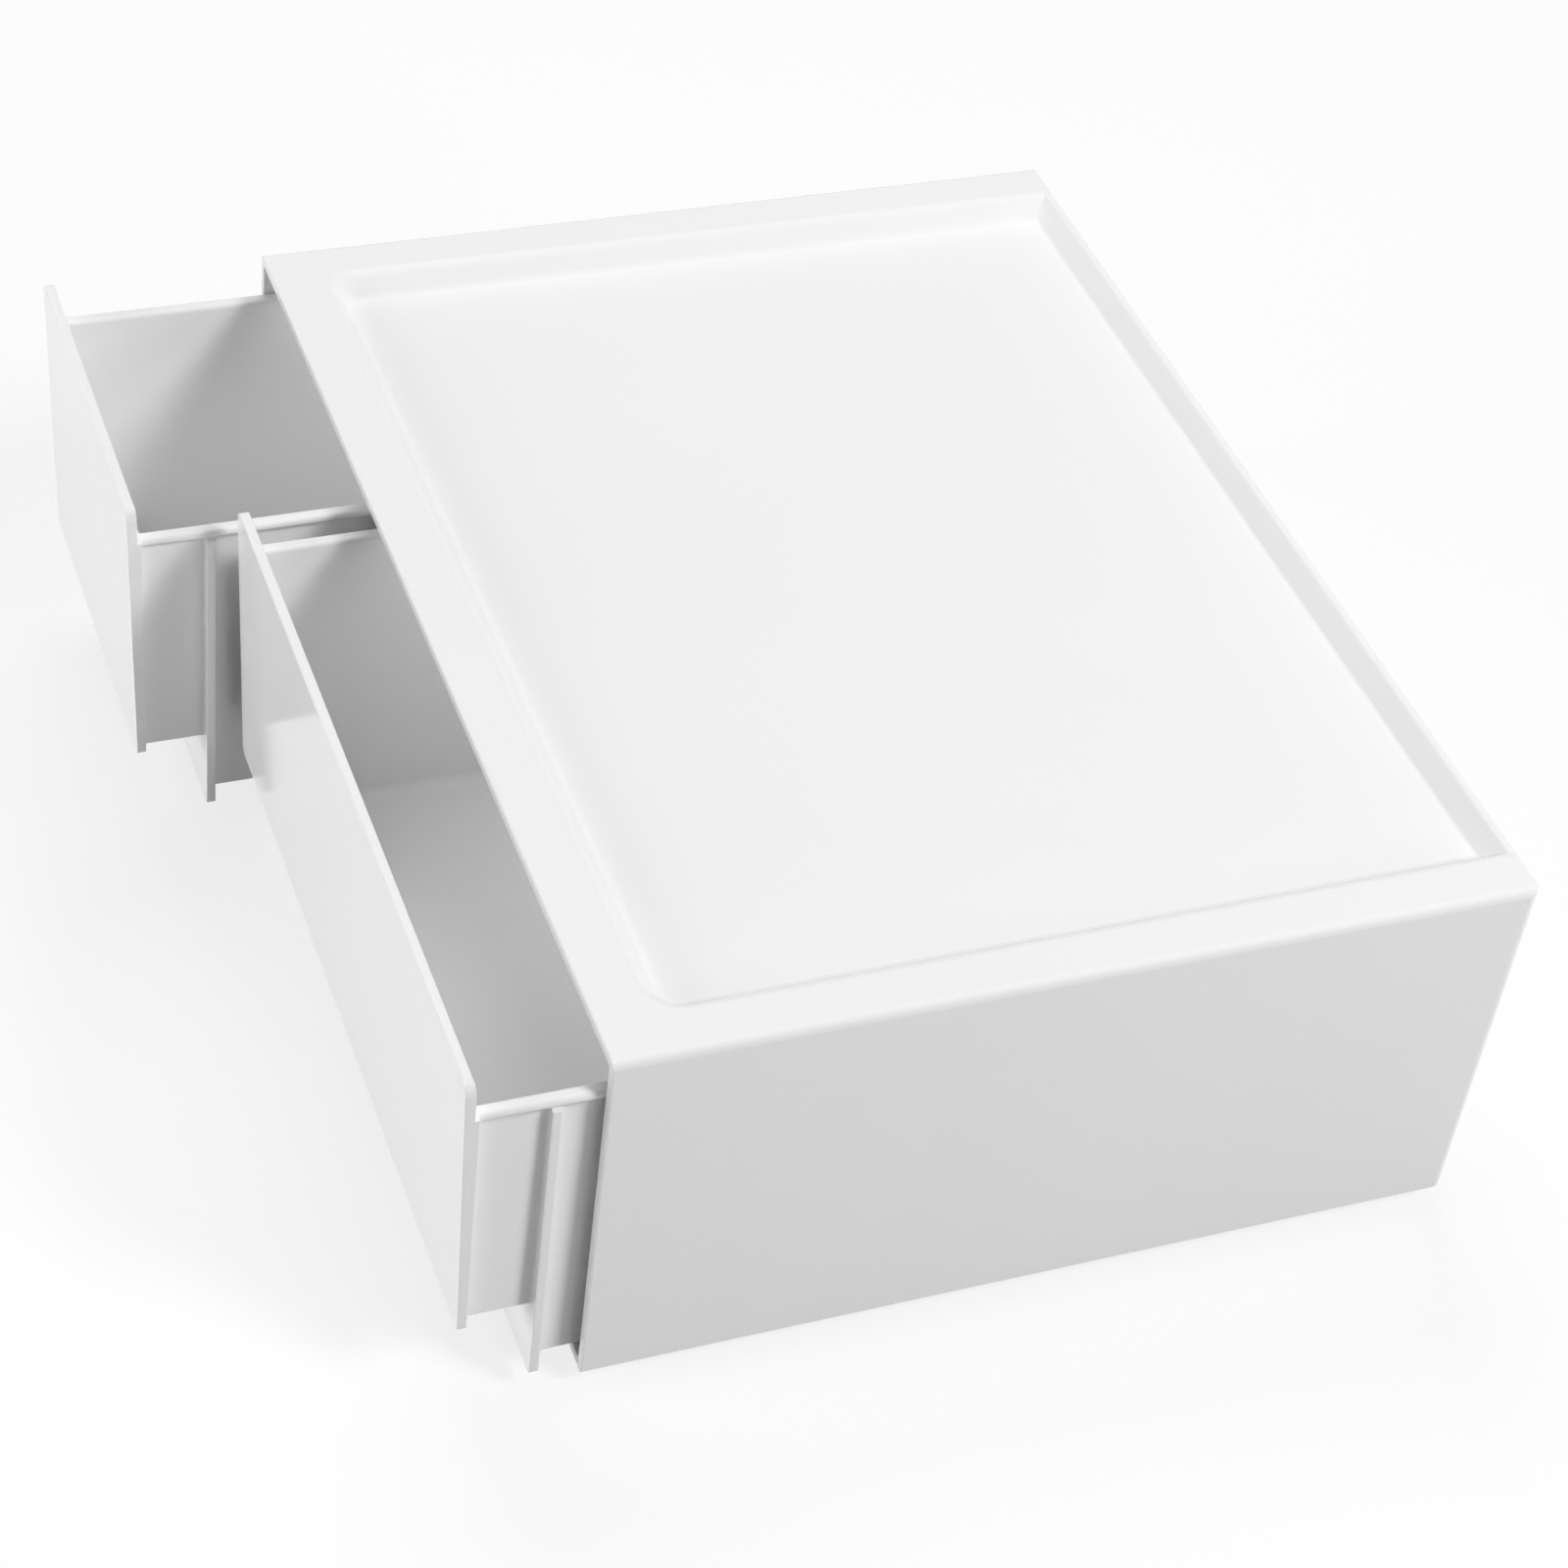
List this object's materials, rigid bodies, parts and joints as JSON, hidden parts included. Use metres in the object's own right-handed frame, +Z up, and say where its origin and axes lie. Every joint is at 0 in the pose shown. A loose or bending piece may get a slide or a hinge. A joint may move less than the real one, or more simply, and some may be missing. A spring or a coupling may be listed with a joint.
{
  "type": "stackable drawer box",
  "caption": "Plastic housing with a narrow and a wide drawer side by side, and a tray in its top that holds the feet of a like box.",
  "frame": {"origin": "middle of the housing's underside, so the feet and their pads reach 4.6 mm below it", "axes": "+X across the front to the right as one faces the drawers, +Y to the back, +Z up; the drawers open along -Y"},
  "size_m": [0.265, 0.2469, 0.0941],
  "materials": {
    "white_plastic": "smooth white polypropylene with a soft gloss",
    "pad_rubber": "matte pale grey"
  },
  "bodies": {
    "housing": {"housing_shell": "white_plastic", "base_panel": "white_plastic", "centre_divider": "white_plastic", "foot_pad_front_left": "pad_rubber", "foot_pad_front_right": "pad_rubber", "foot_pad_back_left": "pad_rubber", "foot_pad_back_right": "pad_rubber"},
    "small_drawer": {"small_drawer": "white_plastic"},
    "wide_drawer": {"wide_drawer": "white_plastic"}
  },
  "joints": [
    {"name": "small_drawer_slide", "type": "slide", "parent": "housing", "child": "small_drawer", "axis": [0, -1, 0], "range_m": [-0.0314, 0.1086]},
    {"name": "wide_drawer_slide", "type": "slide", "parent": "housing", "child": "wide_drawer", "axis": [0, -1, 0], "range_m": [-0.0083, 0.1317]}
  ]
}
